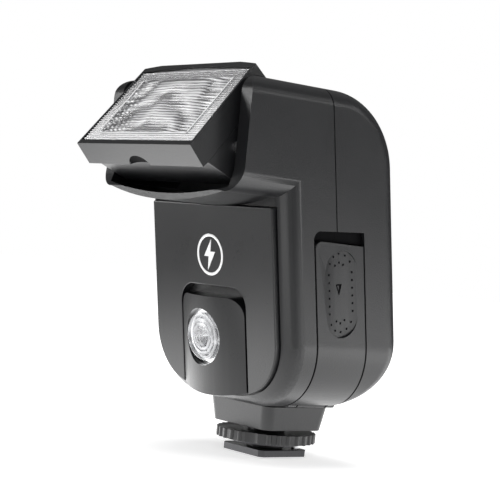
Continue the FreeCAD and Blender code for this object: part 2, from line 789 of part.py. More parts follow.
def contactSpring():
    """The coil spring behind the contact, drawn as its outer sleeve."""
    return tube(contactRadius + 0.5, contactRadius - 0.1, (0, 0, 2.1), ZAXIS, 5.2)


def contactPlug():
    """The insulating plug that closes the stem's bore and carries the wire."""
    return rod(contactRadius + 0.75, (0, 0, 7.4), ZAXIS, stemTop - 7.4)


def lockWheel():
    """The lobed clamping ring, with a smooth notch where a few lobes are missing."""
    r = wheelRadius
    ring = rod(r - 0.55, (0, 0, wheelBottom), ZAXIS, wheelTop - wheelBottom)
    lobeRadius = math.pi * r / wheelLobes * 0.56
    lobes = []
    for i in range(wheelLobes):
        angle = 360.0 * i / wheelLobes
        if abs((angle - wheelNotchAngle + 180) % 360 - 180) < 10:
            continue
        x, y = arcMiddle((0, 0), r - lobeRadius, angle)
        lobes.append(rod(lobeRadius, (x, y, wheelBottom), ZAXIS, wheelTop - wheelBottom))
    ring = ring.fuse(lobes).removeSplitter()
    x, y = arcMiddle((0, 0), r + 1.6, wheelNotchAngle)
    ring = ring.cut(rod(3.0, (x, y, 0), ZAXIS, 20))
    return ring.cut(rod(stemRadius + fitClearance, (0, 0, 0), ZAXIS, 20))


def lockWasher():
    """The washer under the wheel that bears on the shoe's rails and doesn't turn."""
    washer = tube(washerRadius, stemRadius + fitClearance, (0, 0, washerBottom), ZAXIS,
                  wheelBottom - 0.05 - washerBottom)
    return washer.cut(rod(1.1 + 0.35, (6.4, 6.4, 0), ZAXIS, 10))


def blockFace(z):
    grow = (z - blockBottom) * blockSpread / 7.0
    return roundedRect("Z", -blockHalfX - grow, blockHalfX + grow, blockFrontY - grow,
                       blockRearY + grow, blockCorner, z)


def mountBlock():
    """The tapered block between the body and the foot, hollow from above."""
    outer = Part.makeLoft([blockFace(blockBottom).OuterWire, blockFace(blockTop).OuterWire], True, True)
    pocket = box(-10.5, 10.5, -8.5, 8.5, stemTop, 30)
    bore = rod(stemRadius + 0.05, (0, 0, 0), ZAXIS, 20)
    holes = [rod(1.1, (x, y, 0), ZAXIS, 30) for x in (-8, 8) for y in (-6, 6)]
    return outer.cut(pocket.fuse([bore] + holes))


def blockScrews():
    """Four screws from inside the body down into the foot's flange."""
    screws = []
    for x in (-8, 8):
        for y in (-6, 6):
            head = rod(1.8, (x, y, stemTop + 1.2), ZAXIS, 1.2)
            shank = rod(1.0, (x, y, blockBottom + 0.4), ZAXIS, stemTop + 1.2 - blockBottom - 0.4)
            screws.append(head.fuse(shank).removeSplitter())
    return Part.makeCompound(screws)


def stemFlange():
    """The steel plate in the block that the stem is riveted to."""
    plate = box(-10.2, 10.2, -8.2, 8.2, stemTop, stemTop + 1.2)
    cuts = [rod(1.05, (x, y, 0), ZAXIS, 30) for x in (-8, 8) for y in (-6, 6)]
    return plate.cut(cuts[0].fuse(cuts[1:]))


# ---- everything ---------------------------------------------------------------------------
def buildAll():
    skin = bodySkin()
    return {
        "front_shell": frontShell(skin),
        "rear_shell": rearShell(skin),
        "front_panel": frontPanel(),
        "sensor_window": sensorWindow(),
        "sensor_reflector": sensorReflector(),
        "sensor_lens": sensorLens(),
        "photocell": photocell(),
        "battery_door": batteryDoor(),
        "door_contact": doorContact(),
        "door_slider": doorSlider(),
        "door_hinge_pin": doorHingePin(),
        "door_guide": doorGuide(),
        "cell_upper": cell(cellUpperZ, False),
        "cell_lower": cell(cellLowerZ, True),
        "cell_tray": cellTray(),
        "cell_contacts": cellContacts(),
        "main_board": mainBoard(),
        "board_parts": boardParts(),
        "main_capacitor": mainCapacitor(),
        "capacitor_clip": capacitorClip(),
        "transformer": transformer(),
        "trigger_coil": triggerCoil(),
        "shell_screws": shellScrews(),
        "exposure_chart": exposureChart(),
        "power_switch": powerSwitch(),
        "switch_block": switchBlock(),
        "test_button": testButton(),
        "button_switch": buttonSwitch(),
        "ready_lamp": readyLamp(),
        "head_bezel": headBezel(),
        "head_housing": headHousing(),
        "fresnel_lens": fresnelLens(),
        "reflector": reflector(),
        "flash_tube": flashTube(),
        "tube_caps": tubeCaps(),
        "tube_board": tubeBoard(),
        "head_screws": headScrews(),
        "pivot_pins": pivotPins(),
        "foot_plate": footPlate(),
        "stem_flange": stemFlange(),
        "locating_post": locatingPost(),
        "contact_pin": contactPin(),
        "contact_spring": contactSpring(),
        "contact_plug": contactPlug(),
        "lock_wheel": lockWheel(),
        "lock_washer": lockWasher(),
        "mount_block": mountBlock(),
        "block_screws": blockScrews(),
    }


os.makedirs("parts", exist_ok=True)
for name, shape in buildAll().items():
    shape.exportStep(os.path.join("parts", name + ".step"))
    bad = "" if shape.isValid() else "  NOT VALID"
    b = shape.BoundBox
    span = f"x {b.XMin:6.1f}..{b.XMax:5.1f} y {b.YMin:6.1f}..{b.YMax:5.1f} z {b.ZMin:6.1f}..{b.ZMax:6.1f}"
    print(f"{name:18s} solids {len(shape.Solids):2d} volume {shape.Volume:9.1f} {span}{bad}")
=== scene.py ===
import json
import math
import bmesh
import bpy
from mathutils import Matrix, Vector


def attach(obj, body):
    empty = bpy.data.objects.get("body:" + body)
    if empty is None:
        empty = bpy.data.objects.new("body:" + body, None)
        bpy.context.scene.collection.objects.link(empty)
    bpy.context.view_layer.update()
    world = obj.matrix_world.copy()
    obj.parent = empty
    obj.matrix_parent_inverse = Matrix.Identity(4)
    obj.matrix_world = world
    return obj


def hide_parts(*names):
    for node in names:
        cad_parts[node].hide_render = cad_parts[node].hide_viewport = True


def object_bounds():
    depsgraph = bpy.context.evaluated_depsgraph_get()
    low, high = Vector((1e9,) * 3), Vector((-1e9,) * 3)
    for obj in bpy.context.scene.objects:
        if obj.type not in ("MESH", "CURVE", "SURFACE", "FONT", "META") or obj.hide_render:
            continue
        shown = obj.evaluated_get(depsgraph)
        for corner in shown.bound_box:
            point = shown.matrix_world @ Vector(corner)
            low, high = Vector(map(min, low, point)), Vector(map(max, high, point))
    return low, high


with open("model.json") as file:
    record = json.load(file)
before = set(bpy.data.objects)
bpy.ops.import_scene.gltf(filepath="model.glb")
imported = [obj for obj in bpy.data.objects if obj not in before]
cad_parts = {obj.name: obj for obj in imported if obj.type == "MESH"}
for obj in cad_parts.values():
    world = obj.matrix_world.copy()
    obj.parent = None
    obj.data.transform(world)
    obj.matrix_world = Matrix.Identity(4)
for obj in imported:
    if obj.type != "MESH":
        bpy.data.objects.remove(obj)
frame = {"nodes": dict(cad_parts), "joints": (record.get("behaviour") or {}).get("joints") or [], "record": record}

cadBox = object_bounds()
nodes = frame["nodes"]
record = frame["record"]
joints = {joint["name"]: joint for joint in frame["joints"]}
bodyOf = {node: body for body, names in record["behaviour"]["bodies"].items() for node in names}
slotOf = {part["node"]: part["material_slot"] for part in record["subparts"]}
print("frame loaded:", len(nodes), "nodes")

# Pieces are modelled in millimetres, upright, and then settled into one of these places.
slideAxis = Vector(joints["door_slide"]["axis"])
bodyLean = math.atan2(slideAxis.y, -slideAxis.z)  # the body leans forward about X
headTilt = math.radians(39.5)  # above level at rest
square = Matrix.Scale(0.001, 4)
leaning = Matrix.Rotation(bodyLean, 4, "X") @ square
pivot = joints["head_tilt"]["pos_m"]
tilted = Matrix.Translation(pivot) @ Matrix.Rotation(-headTilt, 4, "X") @ square


def extent(node, place):  # a node's lowest and highest corner in millimetres, seen upright
    turn = place.inverted()
    points = [turn @ v.co for v in nodes[node].data.vertices]
    low = Vector([min(p[i] for p in points) for i in range(3)])
    high = Vector([max(p[i] for p in points) for i in range(3)])
    return low, high


cameraLook = {"azimuth": 51.02, "elevation": 0.118, "roll": 5.565, "lens": 110.31, "sensor": 36,
              "nearest": 0.01, "farthest": 50, "location": (0.346795, -0.293403, 0.060165)}


def aimCamera(look):
    a, e, r = (math.radians(look[key]) for key in ("azimuth", "elevation", "roll"))
    right = Vector((math.cos(a), math.sin(a), 0))
    ahead = Vector((-math.sin(a) * math.cos(e), math.cos(a) * math.cos(e), -math.sin(e)))
    up = right.cross(ahead)
    x = right * math.cos(r) + up * math.sin(r)
    y = up * math.cos(r) - right * math.sin(r)
    bpy.ops.object.camera_add(location=look["location"])
    camera = bpy.context.object
    camera.rotation_euler = Matrix((x, y, -ahead)).transposed().to_euler()
    camera.data.lens = look["lens"]
    camera.data.sensor_width = look["sensor"]
    camera.data.clip_start = look["nearest"]
    camera.data.clip_end = look["farthest"]
    bpy.context.scene.camera = camera


aimCamera(cameraLook)
print("camera placed")


class Wire:  # a shader socket that can stand in sums
    def __init__(self, socket):
        self.socket = socket
        self.tree = socket.id_data

    def sum(self, operation, *others):
        return put(self.tree, "Math", {"operation": operation}, dict(enumerate((self, *others))))

    def __add__(self, other):
        return self.sum("ADD", other)

    def __sub__(self, other):
        return self.sum("SUBTRACT", other)

    def __mul__(self, other):
        return self.sum("MULTIPLY", other)

    def __truediv__(self, other):
        return self.sum("DIVIDE", other)

    def __gt__(self, other):
        return self.sum("GREATER_THAN", other)

    def __lt__(self, other):
        return self.sum("LESS_THAN", other)

    def __abs__(self):
        return self.sum("ABSOLUTE")

    def __rsub__(self, other):
        return put(self.tree, "Math", {"operation": "SUBTRACT"}, {0: other, 1: self})

    __radd__ = __add__
    __rmul__ = __mul__


def put(tree, kind, settings=None, inputs=None, out=0):  # adds one node and returns its output
    made = tree.nodes.new("ShaderNode" + kind)
    for key, value in (settings or {}).items():
        setattr(made, key, value)
    for key, value in (inputs or {}).items():
        socket = made.inputs[key]
        if isinstance(value, Wire):
            tree.links.new(value.socket, socket)
        elif isinstance(value, tuple) and socket.type == "RGBA":
            socket.default_value = (*value, 1)
        else:
            socket.default_value = value
    return Wire(made.outputs[out])


def newMaterial(name):
    material = bpy.data.materials.new(name)
    material.use_nodes = True
    material.node_tree.nodes.clear()
    return material, material.node_tree


def finishMaterial(tree, shader):
    out = tree.nodes.new("ShaderNodeOutputMaterial")
    tree.links.new(shader.socket, out.inputs["Surface"])


def blendColours(tree, factor, first, second):
    return put(tree, "Mix", {"data_type": "RGBA"}, {0: factor, 6: first, 7: second}, out=2)


def noise(tree, place, scale, detail=2.0):
    return put(tree, "TexNoise", {}, {"Vector": place, "Scale": scale, "Detail": detail})


# Sizes that finishes of one kind share: noise scales, and bump heights in metres.
commonLook = {"cloudScale": 60.0, "cloudRough": 0.06, "grainHeight": 0.0001, "streakScale": 700.0,
              "flowRough": 0.08, "reliefHeight": 0.0002}


def mouldedPlastic(name, look):  # satin plastic with a fine spark-eroded grain
    material, tree = newMaterial(name)
    place = put(tree, "TexCoord", out="Object")
    grain = noise(tree, place, look["grainScale"])
    cloud = noise(tree, place, commonLook["cloudScale"], 3.0)
    colour = blendColours(tree, cloud, look["dark"], look["light"])
    rough = look["roughness"] + (grain - 0.5) * look["roughSpread"]
    rough = rough + (cloud - 0.5) * commonLook["cloudRough"]
    bump = put(tree, "Bump", {}, {"Height": grain, "Strength": look["grainDepth"],
                                  "Distance": commonLook["grainHeight"]})
    shader = put(tree, "BsdfPrincipled", {}, {"Base Color": colour, "Roughness": rough,
                                              "Normal": bump, "Specular IOR Level": look["gloss"]})
    finishMaterial(tree, shader)
    return material


def brushedMetal(name, look):  # plated metal with fine wear streaks
    material, tree = newMaterial(name)
    place = put(tree, "TexCoord", out="Object")
    stretch = put(tree, "Mapping", {}, {"Vector": place, "Scale": look["stretch"]})
    streak = noise(tree, stretch, commonLook["streakScale"])
    colour = blendColours(tree, streak, look["dark"], look["light"])
    rough = look["roughness"] + (streak - 0.5) * look["roughSpread"]
    shader = put(tree, "BsdfPrincipled", {}, {"Base Color": colour, "Roughness": rough,
                                              "Metallic": look["metallic"]})
    finishMaterial(tree, shader)
    return material


def clearPlastic(name, look):  # clear glass or tinted plastic with slight flow marks
    material, tree = newMaterial(name)
    place = put(tree, "TexCoord", out="Object")
    flow = noise(tree, place, look["flowScale"])
    colour = blendColours(tree, flow, look["dark"], look["light"])
    alpha = look["alpha"] + (flow - 0.5) * look["alphaSpread"]
    rough = look["roughness"] + (flow - 0.5) * commonLook["flowRough"]
    shader = put(tree, "BsdfPrincipled", {}, {"Base Color": colour, "Roughness": rough,
                                              "Alpha": alpha, "Specular IOR Level": look["gloss"]})
    finishMaterial(tree, shader)
    return material


plasticLooks = {
    "caseSatin": {"dark": (0.0045, 0.0047, 0.0055), "light": (0.0065, 0.0068, 0.0078),
                  "roughness": 0.36, "roughSpread": 0.14, "grainScale": 2300.0,
                  "grainDepth": 0.35, "gloss": 0.5},
    "panelSatin": {"dark": (0.004, 0.0042, 0.005), "light": (0.0055, 0.0058, 0.0068),
                   "roughness": 0.30, "roughSpread": 0.10, "grainScale": 2600.0,
                   "grainDepth": 0.2, "gloss": 0.5},
    "headSatin": {"dark": (0.0045, 0.0047, 0.0055), "light": (0.0065, 0.0068, 0.0078),
                  "roughness": 0.38, "roughSpread": 0.14, "grainScale": 2500.0,
                  "grainDepth": 0.3, "gloss": 0.55},
    "wheelSatin": {"dark": (0.003, 0.003, 0.0035), "light": (0.005, 0.005, 0.006),
                   "roughness": 0.30, "roughSpread": 0.1, "grainScale": 2600.0,
                   "grainDepth": 0.15, "gloss": 0.5},
    "innerBlack": {"dark": (0.012, 0.012, 0.013), "light": (0.02, 0.02, 0.021), "roughness": 0.5,
                   "roughSpread": 0.1, "grainScale": 1500.0, "grainDepth": 0.3, "gloss": 0.4},
    "knobGrey": {"dark": (0.30, 0.31, 0.32), "light": (0.36, 0.37, 0.38), "roughness": 0.42,
                 "roughSpread": 0.1, "grainScale": 2300.0, "grainDepth": 0.2, "gloss": 0.5},
    "markWhite": {"dark": (0.80, 0.80, 0.80), "light": (0.88, 0.88, 0.88), "roughness": 0.45,
                  "roughSpread": 0.1, "grainScale": 2300.0, "grainDepth": 0.1, "gloss": 0.4},
    "boardGreen": {"dark": (0.02, 0.09, 0.04), "light": (0.03, 0.14, 0.06), "roughness": 0.3,
                   "roughSpread": 0.1, "grainScale": 900.0, "grainDepth": 0.3, "gloss": 0.5},
    "cellGrey": {"dark": (0.10, 0.11, 0.12), "light": (0.13, 0.14, 0.15), "roughness": 0.3,
                 "roughSpread": 0.08, "grainScale": 900.0, "grainDepth": 0.1, "gloss": 0.5},
    # This near-black is painted shade, put on seams, recesses, the bezel notch, the door gaps, the grip dots and
    # the door mark.
    "paintedShadeBlack": {"dark": (0.0015, 0.0015, 0.002), "light": (0.003, 0.003, 0.0035), "roughness": 0.8,
                 "roughSpread": 0.1, "grainScale": 2300.0, "grainDepth": 0.1, "gloss": 0.08},
    "sleeveBlue": {"dark": (0.015, 0.02, 0.04), "light": (0.02, 0.03, 0.055), "roughness": 0.25,
                   "roughSpread": 0.08, "grainScale": 900.0, "grainDepth": 0.1, "gloss": 0.5},
    "dieDark": {"dark": (0.02, 0.01, 0.015), "light": (0.05, 0.02, 0.03), "roughness": 0.2,
                "roughSpread": 0.05, "grainScale": 900.0, "grainDepth": 0.05, "gloss": 0.5},
}
metalLooks = {
    "mirrorMetal": {"dark": (0.80, 0.81, 0.82), "light": (0.92, 0.92, 0.93), "roughness": 0.16,
                    "roughSpread": 0.12, "metallic": 1.0, "stretch": (1, 1, 1)},
    "platedSteel": {"dark": (0.42, 0.42, 0.43), "light": (0.62, 0.62, 0.63), "roughness": 0.3,
                    "roughSpread": 0.2, "metallic": 1.0, "stretch": (1, 1, 6)},
    "footMetal": {"dark": (0.020, 0.020, 0.022), "light": (0.045, 0.045, 0.048), "roughness": 0.35,
                  "roughSpread": 0.2, "metallic": 0.6, "stretch": (1, 6, 1)},
    "contactGold": {"dark": (0.70, 0.50, 0.22), "light": (0.86, 0.66, 0.34), "roughness": 0.25,
                    "roughSpread": 0.15, "metallic": 1.0, "stretch": (1, 1, 1)},
    "coilCopper": {"dark": (0.30, 0.11, 0.05), "light": (0.50, 0.22, 0.10), "roughness": 0.35,
                   "roughSpread": 0.2, "metallic": 0.8, "stretch": (8, 1, 1)},
    "coreDark": {"dark": (0.03, 0.028, 0.028), "light": (0.06, 0.056, 0.055), "roughness": 0.55,
                 "roughSpread": 0.2, "metallic": 0.2, "stretch": (1, 1, 1)},
}
clearLooks = {
    "tubeGlass": {"dark": (0.95, 0.62, 0.36), "light": (0.98, 0.80, 0.60), "roughness": 0.08,
                  "alpha": 0.85, "alphaSpread": 0.2, "flowScale": 300.0, "gloss": 0.6},
    "lampAmber": {"dark": (0.75, 0.18, 0.04), "light": (0.90, 0.30, 0.08), "roughness": 0.2,
                  "alpha": 0.9, "alphaSpread": 0.1, "flowScale": 500.0, "gloss": 0.5},
}
finishes = {name: mouldedPlastic(name, look) for name, look in plasticLooks.items()}
finishes.update({name: brushedMetal(name, look) for name, look in metalLooks.items()})
finishes.update({name: clearPlastic(name, look) for name, look in clearLooks.items()})


def placeIn(tree, origin, turn):  # object place in millimetres about an origin, turned upright
    place = put(tree, "TexCoord", out="Object")
    return put(tree, "Mapping", {"vector_type": "TEXTURE"},
               {"Vector": place, "Location": tuple(origin), "Rotation": (turn, 0, 0),
                "Scale": (0.001, 0.001, 0.001)})


def across(tree, place, axis):
    return put(tree, "SeparateXYZ", {}, {0: place}, out=axis)


def wave(value, pitch):  # from 0 to 1 and back once each pitch
    return 0.5 + 0.5 * (value * (2 * math.pi / pitch)).sum("SINE")


def clamped(tree, value, high=1.0):
    return put(tree, "Clamp", {}, {"Value": value, "Max": high})


def clearShader(tree, look, shine):  # painted highlight: whiter and less see-through where the painted shine is high
    colour = blendColours(tree, clamped(tree, shine), look["dark"], look["light"])
    alpha = clamped(tree, look["alpha"] + shine * look["alphaSpread"], look["alphaMost"])
    bump = put(tree, "Bump", {}, {"Height": shine, "Strength": look["relief"],
                                  "Distance": commonLook["reliefHeight"]})
    return put(tree, "BsdfPrincipled", {}, {"Base Color": colour, "Roughness": look["roughness"],
                                            "Alpha": alpha, "Normal": bump,
                                            "Specular IOR Level": look["gloss"]})


def ribbedClear(name, look):  # the lamp's window: wavy ribs in a frame, dimpled at one side, drawn as painted highlights and painted shade
    material, tree = newMaterial(name)
    local = placeIn(tree, pivot, -headTilt)
    x, z = across(tree, local, "X"), across(tree, local, "Z")
    low, high = extent("fresnel_lens", tilted)
    half = high.x - look["sideBand"]
    bottom, top = low.z + look["bottomBand"], high.z - look["topBand"]
    inside = (abs(x) < half) * (z > bottom) * (z < top)
    stretched = put(tree, "Mapping", {}, {"Vector": local, "Scale": look["stretch"]})
    drift = noise(tree, stretched, look["driftScale"], 3.0) - 0.5
    swell = noise(tree, local, look["swellScale"], 1.0) - 0.5
    sag = look["sag"] * (x / half) * (x / half)
    ribs = wave(z + sag + drift * look["wander"] + swell * look["swell"], look["fieldPitch"])
    dimples = wave(x + z * look["dimpleLean"], look["dimplePitch"])
    dimples = dimples * wave(z + sag, look["dimpleRow"])
    beside = look["dimpleEdge"] - x - (z - bottom) * look["dimpleLean"]
    leftLow = clamped(tree, beside / look["dimpleFade"])
    # The ribs, dimples, border and frame lines are painted: highlights where the shine is high, painted shade
    # where it is low.
    field = ribs * look["ribContrast"] + drift * look["driftContrast"] + look["fieldLevel"]
    field = field + (dimples - look["dimpleLevel"]) * leftLow * look["dimpleContrast"]
    border = wave(z, look["edgePitch"]) * look["edgeContrast"]
    border = border + drift * look["edgeDrift"] + look["edgeLevel"]
    lineX = (abs(abs(x) - half) < look["line"]) * (z > bottom) * (z < top)
    lineZ = (abs(z - bottom) < look["line"]) * (abs(x) < half)
    shine = field * inside + border * (1 - inside) + (lineX + lineZ) * look["lineShine"]
    finishMaterial(tree, clearShader(tree, look, shine))
    return material


def ringedClear(name, look):  # the sensor's lens: a painted whitish reflection, with painted shade on rings about its middle and on its core
    material, tree = newMaterial(name)
    low, high = extent("sensor_lens", leaning)
    local = placeIn(tree, (0, 0, 0), bodyLean)
    x = across(tree, local, "X") - (low.x + high.x) / 2
    z = across(tree, local, "Z") - (low.z + high.z) / 2
    radius = (x * x + z * z).sum("SQRT")
    flow = noise(tree, local, look["flowScale"]) - 0.5
    line = (wave(radius + look["ringShift"], look["ringPitch"]) > look["ringEdge"])
    core = (radius < look["coreRadius"])
    # painted reflection, less on the ring lines and the core, which get painted shade
    shine = look["level"] + flow * look["flow"]
    shine = shine - line * look["ringContrast"] - core * look["coreShade"]
    finishMaterial(tree, clearShader(tree, look, shine))
    return material


# Sizes inside the two clear mouldings are in millimetres.
# Their dark and light colours are the painted shade and the painted highlight of the clear plastic.
windowLook = {"dark": (0.05, 0.05, 0.055), "light": (0.90, 0.90, 0.91), "roughness": 0.16,
              "alpha": 0.22, "alphaSpread": 0.75, "alphaMost": 0.97, "relief": 0.5, "gloss": 0.8,
              "stretch": (0.06, 1, 1), "driftScale": 0.8, "wander": 0.7, "swellScale": 0.10,
              "swell": 1.2, "sag": 1.6,
              "sideBand": 5.4, "topBand": 4.9, "bottomBand": 3.0, "line": 0.2, "lineShine": 0.9,
              "edgePitch": 0.85, "edgeContrast": 0.5, "edgeDrift": 0.3, "edgeLevel": 0.22,
              "fieldPitch": 1.05, "fieldLevel": 0.04, "ribContrast": 0.85, "driftContrast": 1.1,
              "dimplePitch": 2.2, "dimpleRow": 1.76, "dimpleLean": 0.5, "dimpleEdge": -5.0,
              "dimpleFade": 9.0, "dimpleLevel": 0.4, "dimpleContrast": 1.0}
domeLook = {"dark": (0.08, 0.08, 0.09), "light": (0.92, 0.93, 0.95), "roughness": 0.08,
            "alpha": 0.25, "alphaSpread": 0.5, "alphaMost": 0.9, "relief": 0.4, "gloss": 0.9,
            "flowScale": 0.35, "flow": 0.9, "level": 0.62, "ringPitch": 1.35, "ringShift": 0.2,
            "ringEdge": 0.8, "ringContrast": 0.5, "coreRadius": 3.2, "coreShade": 0.3}
finishes["windowClear"] = ribbedClear("windowClear", windowLook)
finishes["domeClear"] = ringedClear("domeClear", domeLook)

finishOfSlot = {
    "body_black": "caseSatin", "panel_black": "panelSatin", "head_black": "headSatin",
    "control_black": "wheelSatin", "control_grey": "knobGrey", "chart_face": "panelSatin",
    "clear_dome": "domeClear", "clear_lens": "windowClear", "lamp_amber": "lampAmber",
    "bright_metal": "mirrorMetal", "tube_glass": "tubeGlass", "steel": "platedSteel",
    "foot_metal": "footMetal", "contact_metal": "contactGold", "cell_sleeve": "cellGrey",
    "capacitor_sleeve": "sleeveBlue", "core_ferrite": "coreDark", "coil_wire": "coilCopper",
    "inner_black": "innerBlack", "board_green": "boardGreen", "sensor_dark": "dieDark"}
for name, node in nodes.items():
    node.data.materials.clear()
    node.data.materials.append(finishes[finishOfSlot[slotOf[name]]])
print("finishes made:", len(finishes))


def deselectAll():
    if bpy.context.object and bpy.context.object.mode != "OBJECT":
        bpy.ops.object.mode_set(mode="OBJECT")
    bpy.ops.object.select_all(action="DESELECT")


def choose(piece):
    deselectAll()
    piece.select_set(True)
    bpy.context.view_layer.objects.active = piece


def applyPlace():  # moves the active piece's place, turn and size into its mesh
    bpy.ops.object.transform_apply(location=True, rotation=True, scale=True)


def startBlock(name, low, high):
    deselectAll()
    low, high = Vector(low), Vector(high)
    bpy.ops.mesh.primitive_cube_add(size=1, location=(low + high) / 2)
    piece = bpy.context.object
    piece.name = name
    piece.scale = high - low
    applyPlace()
    return piece


def startRod(name, radius, start, axis, length, sides):
    deselectAll()
    middle = Vector(start) + Vector(axis) * length / 2
    turn = Vector(axis).to_track_quat("Z", "Y").to_euler()
    bpy.ops.mesh.primitive_cylinder_add(vertices=sides, radius=radius, depth=length,
                                        location=middle, rotation=turn)
    piece = bpy.context.object
    piece.name = name
    applyPlace()
    return piece


def startSheet(name, low, high, columns, rows):  # an upright grid facing -Y
    deselectAll()
    low, high = Vector(low), Vector(high)
    bpy.ops.mesh.primitive_grid_add(x_subdivisions=columns, y_subdivisions=rows, size=1,
                                    location=(low + high) / 2, rotation=(math.pi / 2, 0, 0))
    piece = bpy.context.object
    piece.name = name
    piece.scale = (high.x - low.x, high.z - low.z, 1)
    applyPlace()
    return piece


def edit(piece, kind="FACE"):  # enters edit mode with nothing selected
    choose(piece)
    bpy.ops.object.mode_set(mode="EDIT")
    bpy.ops.mesh.select_mode(type=kind)
    bpy.ops.mesh.select_all(action="DESELECT")
    return bmesh.from_edit_mesh(piece.data)


def pick(piece, kind, test):  # selects by place and normal, in edit mode
    shape = edit(piece, kind)
    if kind == "FACE":
        for face in shape.faces:
            face.select_set(test(face.calc_center_median(), face.normal))
    else:
        for vert in shape.verts:
            vert.select_set(test(vert.co))
    bmesh.update_edit_mesh(piece.data)


def leaveEdit():
    bpy.ops.object.mode_set(mode="OBJECT")


def applyModifier(piece, kind, settings):
    choose(piece)
    modifier = piece.modifiers.new(kind.lower(), kind)
    for key, value in settings.items():
        setattr(modifier, key, value)
    bpy.ops.object.modifier_apply(modifier=modifier.name)


def smooth(piece, angle=40):
    choose(piece)
    bpy.ops.object.shade_smooth_by_angle(angle=math.radians(angle))


def softenEdges(piece, width, angle=32):
    applyModifier(piece, "BEVEL", {"width": width, "segments": 2, "limit_method": "ANGLE",
                                   "angle_limit": math.radians(angle), "use_clamp_overlap": True,
                                   "miter_outer": "MITER_ARC", "loop_slide": True})
    smooth(piece)
    applyModifier(piece, "WEIGHTED_NORMAL", {"weight": 90, "keep_sharp": True})


def carve(piece, cutter):
    applyModifier(piece, "BOOLEAN", {"object": cutter, "operation": "DIFFERENCE",
                                     "solver": "EXACT"})
    bpy.data.objects.remove(cutter)


def joinPieces(name, pieces):
    deselectAll()
    for piece in pieces:
        piece.select_set(True)
    bpy.context.view_layer.objects.active = pieces[0]
    bpy.ops.object.join()
    pieces[0].name = name
    return pieces[0]


def settle(piece, place):  # from upright millimetres to the frame's metres
    choose(piece)
    piece.matrix_world = place
    applyPlace()


def lift(piece, place):  # from the frame's metres back to upright millimetres
    choose(piece)
    piece.matrix_world = place.inverted()
    applyPlace()


mergeSizes = {"gap": 0.002, "flatAngle": 0.6}  # millimetres and degrees


def copyOf(node, name, place):  # a merged copy of a node, upright in millimetres, free to be shaped
    piece = bpy.data.objects.new(name, nodes[node].data.copy())
    bpy.context.collection.objects.link(piece)
    lift(piece, place)
    edit(piece)
    bpy.ops.mesh.select_all(action="SELECT")
    bpy.ops.mesh.remove_doubles(threshold=mergeSizes["gap"])
    bpy.ops.mesh.customdata_custom_splitnormals_clear()
    bpy.ops.mesh.dissolve_limited(angle_limit=math.radians(mergeSizes["flatAngle"]))
    leaveEdit()
    return piece


def dress(piece, finish, node, *replaced):  # it moves with the node's body, takes the given finish and hides the nodes it replaces
    piece.data.materials.clear()
    piece.data.materials.append(finishes[finish])
    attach(piece, bodyOf[node])
    if replaced:
        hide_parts(*replaced)


# These keep their CAD outline and get softened edges.
moulded = {  # node: name, place, edge radius in millimetres, finish
    "front_shell": ("frontCase", leaning, 0.4, "caseSatin"),
    "rear_shell": ("rearCase", leaning, 0.4, "caseSatin"),
    "front_panel": ("facePanel", leaning, 0.45, "panelSatin"),
    "sensor_window": ("sensorPlate", leaning, 0.4, "panelSatin"),
    "head_housing": ("headShell", tilted, 0.3, "headSatin"),
    "mount_block": ("footBlock", square, 0.3, "caseSatin"),
    "lock_wheel": ("clampWheel", square, 0.25, "wheelSatin"),
    "foot_plate": ("shoePlate", square, 0.15, "footMetal"),
    "exposure_chart": ("chartPlate", leaning, 0.15, "panelSatin"),
    "power_switch": ("slideKnob", leaning, 0.15, "knobGrey"),
}

# Gaps painted black as shade: widths of the seams, and the box round the step above the battery door.
grooveSizes = {"seam": 0.35, "doorEdge": 0.3, "recessIn": 1.0, "recessOut": 2.0, "recessLow": 60.0,
               "recessHigh": 69.0, "recessFront": -7.5, "recessRear": 13.5}


def splitAt(piece, y):  # cuts every face along a plane across Y
    pick(piece, "FACE", lambda middle, normal: True)
    bpy.ops.mesh.bisect(plane_co=(0, y, 0), plane_no=(0, 1, 0))
    leaveEdit()


def paintShade(piece, faces):  # paints shade: black on the inside of a gap or hollow, where shade falls
    piece.data.materials.append(finishes["paintedShadeBlack"])
    for index in faces:
        piece.data.polygons[index].material_index = 1


def inRecess(centre, side, sizes):  # the step above the battery door
    return (side - sizes["recessOut"] < centre.x < side - sizes["recessIn"]
            and sizes["recessLow"] < centre.z < sizes["recessHigh"]
            and sizes["recessFront"] < centre.y < sizes["recessRear"])


def makeMouldings(sizes):
    for node, (name, place, radius, finish) in moulded.items():
        piece = copyOf(node, name, place)
        low, high = extent(node, place)
        if node == "rear_shell":
            splitAt(piece, low.y + sizes["seam"])
        softenEdges(piece, radius)
        # Faces in the rear shell's seam and in the step above the battery door get painted shade: they are painted
        # black.
        dark = []
        if node in ("front_shell", "rear_shell"):
            for face in piece.data.polygons:
                inSeam = node == "rear_shell" and face.center.y < low.y + sizes["seam"]
                if inSeam or inRecess(face.center, high.x, sizes):
                    dark.append(face.index)
        settle(piece, place)
        dress(piece, finish, node, node)
        if dark:
            paintShade(piece, dark)


makeMouldings(grooveSizes)
print("mouldings softened:", len(moulded))

bezelSizes = {"notchCentre": -1.5, "notchWidth": 9.5, "notchDepth": 3.6, "notchHeight": 1.3,
              "edge": 0.2, "hollowFace": 1.5,  # the largest face that is painted black as shade
              "hollowNear": 0.93, "hollowFar": 1.01}  # as shares of the scoop's size


